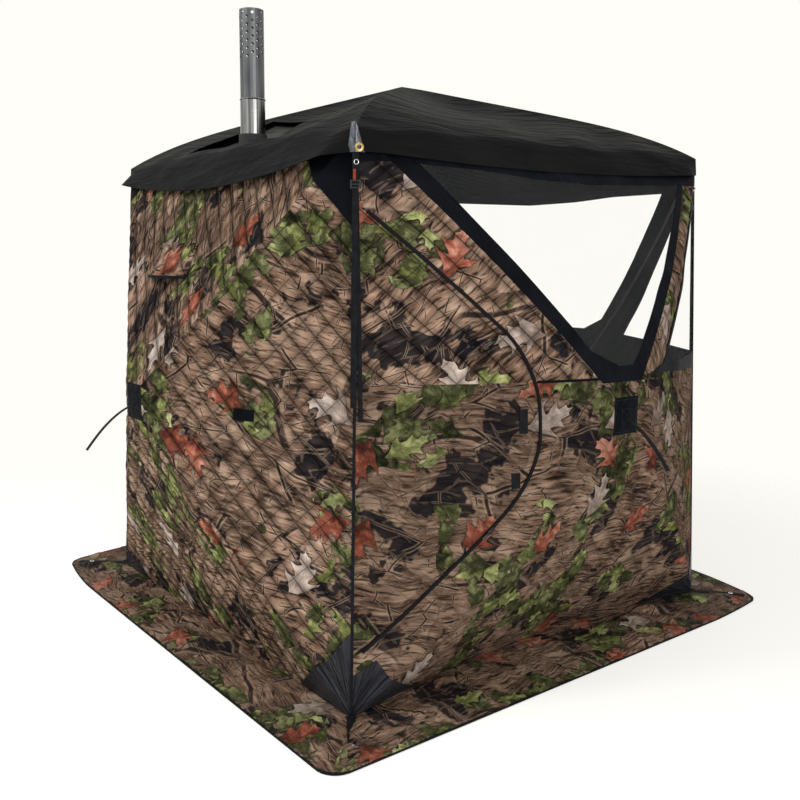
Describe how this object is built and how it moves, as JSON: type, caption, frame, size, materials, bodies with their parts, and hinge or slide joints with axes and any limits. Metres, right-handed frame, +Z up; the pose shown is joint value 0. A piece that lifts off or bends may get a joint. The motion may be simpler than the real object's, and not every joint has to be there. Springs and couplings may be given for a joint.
{
  "type": "sauna tent",
  "caption": "Pop-up square sauna tent with sprung hub walls, rain fly, curved zip door, clear windows, mud skirt and a wood stove whose flue passes through the roof.",
  "frame": {"origin": "on the ground under the middle of the tent", "axes": "+Z up, the door wall faces -Y, the stove and its flue stand on the -X side"},
  "size_m": [2.5767, 2.5767, 2.345],
  "materials": {
    "quilt_camo": "quilted leaf print, matt",
    "fly_nylon": "coated nylon, satin",
    "webbing": "woven webbing, matt",
    "clear_film": "clear film, glossy",
    "fibreglass": "pultruded rod, satin",
    "moulded_nylon": "moulded, matt",
    "stainless": "brushed stainless steel",
    "stove_steel": "stove paint, matt",
    "heat_cloth": "coated glass cloth, matt",
    "sauna_stone": "dark igneous stone, rough"
  },
  "bodies": {
    "tent": {"stove_body": "stove_steel", "flue_lower": "stainless", "flue_upper": "stainless", "stove_jack": "heat_cloth", "roof_panel": "quilt_camo", "rain_fly": "fly_nylon", "ground_skirt": "fly_nylon", "corner_strap": "webbing", "vent_hood": "quilt_camo", "front_wall": "quilt_camo", "right_wall": "quilt_camo", "back_wall": "quilt_camo", "left_wall": "quilt_camo", "front_top_window": "clear_film", "front_side_window": "clear_film", "right_top_window": "clear_film", "right_side_window": "clear_film", "foot_bracket_front_left": "moulded_nylon", "foot_bracket_front_right": "moulded_nylon", "foot_bracket_back_right": "moulded_nylon", "foot_bracket_back_left": "moulded_nylon", "eave_bracket_front_left": "moulded_nylon", "eave_bracket_front_right": "moulded_nylon", "eave_bracket_back_right": "moulded_nylon", "eave_bracket_back_left": "moulded_nylon"},
    "front_hub": {"front_hub": "moulded_nylon", "front_pull_strap": "webbing"},
    "front_pole_bottom_left": {"front_pole_bottom_left": "fibreglass"},
    "front_pole_bottom_right": {"front_pole_bottom_right": "fibreglass"},
    "front_pole_top_right": {"front_pole_top_right": "fibreglass"},
    "front_pole_top_left": {"front_pole_top_left": "fibreglass"},
    "right_hub": {"right_hub": "moulded_nylon"},
    "right_pole_bottom_left": {"right_pole_bottom_left": "fibreglass"},
    "right_pole_bottom_right": {"right_pole_bottom_right": "fibreglass"},
    "right_pole_top_right": {"right_pole_top_right": "fibreglass"},
    "right_pole_top_left": {"right_pole_top_left": "fibreglass"},
    "back_hub": {"back_hub": "moulded_nylon"},
    "back_pole_bottom_left": {"back_pole_bottom_left": "fibreglass"},
    "back_pole_bottom_right": {"back_pole_bottom_right": "fibreglass"},
    "back_pole_top_right": {"back_pole_top_right": "fibreglass"},
    "back_pole_top_left": {"back_pole_top_left": "fibreglass"},
    "left_hub": {"left_hub": "moulded_nylon", "left_pull_strap": "webbing"},
    "left_pole_bottom_left": {"left_pole_bottom_left": "fibreglass"},
    "left_pole_bottom_right": {"left_pole_bottom_right": "fibreglass"},
    "left_pole_top_right": {"left_pole_top_right": "fibreglass"},
    "left_pole_top_left": {"left_pole_top_left": "fibreglass"},
    "roof_hub": {"roof_hub": "moulded_nylon"},
    "roof_pole_front_left": {"roof_pole_front_left": "fibreglass"},
    "roof_pole_front_right": {"roof_pole_front_right": "fibreglass"},
    "roof_pole_back_right": {"roof_pole_back_right": "fibreglass"},
    "roof_pole_back_left": {"roof_pole_back_left": "fibreglass"},
    "door_zip": {"door_zip": "webbing"},
    "door_panel": {"door_panel": "quilt_camo"},
    "zip_slider": {"zip_slider": "stainless"},
    "stove_door": {"stove_door": "stove_steel"},
    "stove_latch": {"stove_latch": "stainless"},
    "air_slide": {"air_slide": "stainless"},
    "flue_damper": {"flue_damper": "stainless"},
    "rock_tray": {"rock_tray": "sauna_stone"}
  },
  "joints": [
    {"name": "front_hub_push", "type": "slide", "parent": "tent", "child": "front_hub", "axis": [0, 1, 0], "range_m": [0, 0.6], "deforming": ["front_wall", "front_top_window", "front_side_window"]},
    {"name": "front_pole_bottom_left_swing", "type": "hinge", "parent": "tent", "child": "front_pole_bottom_left", "pos_m": [-0.87131, -0.89041, 0.02904], "axis": [-0.7114, 0, 0.7028], "range_deg": [0, 28.96]},
    {"name": "front_pole_bottom_right_swing", "type": "hinge", "parent": "tent", "child": "front_pole_bottom_right", "pos_m": [0.87131, -0.89041, 0.02904], "axis": [-0.7114, 0, -0.7028], "range_deg": [0, 28.96]},
    {"name": "front_pole_top_right_swing", "type": "hinge", "parent": "tent", "child": "front_pole_top_right", "pos_m": [0.80837, -0.82935, 1.75612], "axis": [0.7226, 0, -0.6912], "range_deg": [0, 30.29]},
    {"name": "front_pole_top_left_swing", "type": "hinge", "parent": "tent", "child": "front_pole_top_left", "pos_m": [-0.80837, -0.82935, 1.75612], "axis": [0.7226, 0, 0.6912], "range_deg": [0, 30.29]},
    {"name": "right_hub_push", "type": "slide", "parent": "tent", "child": "right_hub", "axis": [-1, 0, 0], "range_m": [0, 0.6], "deforming": ["right_wall", "right_top_window", "right_side_window"]},
    {"name": "right_pole_bottom_left_swing", "type": "hinge", "parent": "tent", "child": "right_pole_bottom_left", "pos_m": [0.89041, -0.87131, 0.02904], "axis": [0, -0.7114, 0.7028], "range_deg": [0, 28.96]},
    {"name": "right_pole_bottom_right_swing", "type": "hinge", "parent": "tent", "child": "right_pole_bottom_right", "pos_m": [0.89041, 0.87131, 0.02904], "axis": [0, -0.7114, -0.7028], "range_deg": [0, 28.96]},
    {"name": "right_pole_top_right_swing", "type": "hinge", "parent": "tent", "child": "right_pole_top_right", "pos_m": [0.82935, 0.80837, 1.75612], "axis": [0, 0.7226, -0.6912], "range_deg": [0, 30.29]},
    {"name": "right_pole_top_left_swing", "type": "hinge", "parent": "tent", "child": "right_pole_top_left", "pos_m": [0.82935, -0.80837, 1.75612], "axis": [0, 0.7226, 0.6912], "range_deg": [0, 30.29]},
    {"name": "back_hub_push", "type": "slide", "parent": "tent", "child": "back_hub", "axis": [0, -1, 0], "range_m": [0, 0.6], "deforming": ["back_wall"]},
    {"name": "back_pole_bottom_left_swing", "type": "hinge", "parent": "tent", "child": "back_pole_bottom_left", "pos_m": [0.87131, 0.89041, 0.02904], "axis": [0.7114, 0, 0.7028], "range_deg": [0, 28.96]},
    {"name": "back_pole_bottom_right_swing", "type": "hinge", "parent": "tent", "child": "back_pole_bottom_right", "pos_m": [-0.87131, 0.89041, 0.02904], "axis": [0.7114, 0, -0.7028], "range_deg": [0, 28.96]},
    {"name": "back_pole_top_right_swing", "type": "hinge", "parent": "tent", "child": "back_pole_top_right", "pos_m": [-0.80837, 0.82935, 1.75612], "axis": [-0.7226, 0, -0.6912], "range_deg": [0, 30.29]},
    {"name": "back_pole_top_left_swing", "type": "hinge", "parent": "tent", "child": "back_pole_top_left", "pos_m": [0.80837, 0.82935, 1.75612], "axis": [-0.7226, 0, 0.6912], "range_deg": [0, 30.29]},
    {"name": "left_hub_push", "type": "slide", "parent": "tent", "child": "left_hub", "axis": [1, 0, 0], "range_m": [0, 0.46], "deforming": ["left_wall", "vent_hood"]},
    {"name": "left_pole_bottom_left_swing", "type": "hinge", "parent": "tent", "child": "left_pole_bottom_left", "pos_m": [-0.89041, 0.87131, 0.02904], "axis": [0, 0.7114, 0.7028], "range_deg": [0, 22.19]},
    {"name": "left_pole_bottom_right_swing", "type": "hinge", "parent": "tent", "child": "left_pole_bottom_right", "pos_m": [-0.89041, -0.87131, 0.02904], "axis": [0, 0.7114, -0.7028], "range_deg": [0, 22.19]},
    {"name": "left_pole_top_right_swing", "type": "hinge", "parent": "tent", "child": "left_pole_top_right", "pos_m": [-0.82935, -0.80837, 1.75612], "axis": [0, -0.7226, -0.6912], "range_deg": [0, 23.27]},
    {"name": "left_pole_top_left_swing", "type": "hinge", "parent": "tent", "child": "left_pole_top_left", "pos_m": [-0.82935, 0.80837, 1.75612], "axis": [0, -0.7226, 0.6912], "range_deg": [0, 23.27]},
    {"name": "roof_hub_push", "type": "slide", "parent": "tent", "child": "roof_hub", "axis": [0, 0, -1], "range_m": [0, 0.6], "deforming": ["roof_panel", "rain_fly", "stove_jack"]},
    {"name": "roof_pole_front_left_swing", "type": "hinge", "parent": "tent", "child": "roof_pole_front_left", "pos_m": [-0.80722, -0.80722, 1.77307], "axis": [-0.7071, 0.7071, 0], "range_deg": [0, 31.01]},
    {"name": "roof_pole_front_right_swing", "type": "hinge", "parent": "tent", "child": "roof_pole_front_right", "pos_m": [0.80722, -0.80722, 1.77307], "axis": [-0.7071, -0.7071, 0], "range_deg": [0, 31.01]},
    {"name": "roof_pole_back_right_swing", "type": "hinge", "parent": "tent", "child": "roof_pole_back_right", "pos_m": [0.80722, 0.80722, 1.77307], "axis": [0.7071, -0.7071, 0], "range_deg": [0, 31.01]},
    {"name": "roof_pole_back_left_swing", "type": "hinge", "parent": "tent", "child": "roof_pole_back_left", "pos_m": [-0.80722, 0.80722, 1.77307], "axis": [0.7071, 0.7071, 0], "range_deg": [0, 31.01]},
    {"name": "door_facet_swing", "type": "hinge", "parent": "tent", "child": "door_zip", "pos_m": [-0.9, -0.9, 0], "axis": [0.0358, 0.0358, 0.9987], "range_deg": [0, 38.31]},
    {"name": "door_open", "type": "hinge", "parent": "door_zip", "child": "door_panel", "pos_m": [-0.86989, -0.90638, 0.214], "axis": [-0.0358, -0.0357, -0.9987], "range_deg": [0, 90]},
    {"name": "zip_slider_run", "type": "hinge", "parent": "door_zip", "child": "zip_slider", "pos_m": [0.32804, 3.33952, 1.40224], "axis": [0.7072, 0, -0.7071], "range_deg": [0, 6.59]},
    {"name": "stove_door_open", "type": "hinge", "parent": "tent", "child": "stove_door", "pos_m": [-0.733, -0.2213, 0.29], "axis": [0, 0, -1], "range_deg": [0, 110]},
    {"name": "stove_latch_turn", "type": "hinge", "parent": "stove_door", "child": "stove_latch", "pos_m": [-0.54, -0.2216, 0.365], "axis": [0, -1, 0], "range_deg": [0, 90]},
    {"name": "air_slide_push", "type": "slide", "parent": "tent", "child": "air_slide", "axis": [-1, 0, 0], "range_m": [0, 0.045]},
    {"name": "flue_damper_turn", "type": "hinge", "parent": "tent", "child": "flue_damper", "pos_m": [-0.62, 0.16, 0.78], "axis": [1, 0, 0], "range_deg": [0, 90]},
    {"name": "rock_tray_lift", "type": "slide", "parent": "tent", "child": "rock_tray", "axis": [0, 0, 1], "range_m": [0, 0.12]}
  ],
  "couplings": [
    {"joint": "front_pole_bottom_left_swing", "follows": "front_hub_push", "rad_per_m": 0.8366},
    {"joint": "front_pole_bottom_right_swing", "follows": "front_hub_push", "rad_per_m": 0.8366},
    {"joint": "front_pole_top_right_swing", "follows": "front_hub_push", "rad_per_m": 0.8752},
    {"joint": "front_pole_top_left_swing", "follows": "front_hub_push", "rad_per_m": 0.8752},
    {"joint": "right_pole_bottom_left_swing", "follows": "right_hub_push", "rad_per_m": 0.8366},
    {"joint": "right_pole_bottom_right_swing", "follows": "right_hub_push", "rad_per_m": 0.8366},
    {"joint": "right_pole_top_right_swing", "follows": "right_hub_push", "rad_per_m": 0.8752},
    {"joint": "right_pole_top_left_swing", "follows": "right_hub_push", "rad_per_m": 0.8752},
    {"joint": "back_pole_bottom_left_swing", "follows": "back_hub_push", "rad_per_m": 0.8366},
    {"joint": "back_pole_bottom_right_swing", "follows": "back_hub_push", "rad_per_m": 0.8366},
    {"joint": "back_pole_top_right_swing", "follows": "back_hub_push", "rad_per_m": 0.8752},
    {"joint": "back_pole_top_left_swing", "follows": "back_hub_push", "rad_per_m": 0.8752},
    {"joint": "left_pole_bottom_left_swing", "follows": "left_hub_push", "rad_per_m": 0.8342},
    {"joint": "left_pole_bottom_right_swing", "follows": "left_hub_push", "rad_per_m": 0.8342},
    {"joint": "left_pole_top_right_swing", "follows": "left_hub_push", "rad_per_m": 0.8755},
    {"joint": "left_pole_top_left_swing", "follows": "left_hub_push", "rad_per_m": 0.8755},
    {"joint": "roof_pole_front_left_swing", "follows": "roof_hub_push", "rad_per_m": 0.8961},
    {"joint": "roof_pole_front_right_swing", "follows": "roof_hub_push", "rad_per_m": 0.8961},
    {"joint": "roof_pole_back_right_swing", "follows": "roof_hub_push", "rad_per_m": 0.8961},
    {"joint": "roof_pole_back_left_swing", "follows": "roof_hub_push", "rad_per_m": 0.8961},
    {"joint": "door_facet_swing", "follows": "front_hub_push", "rad_per_m": 1.1086}
  ]
}
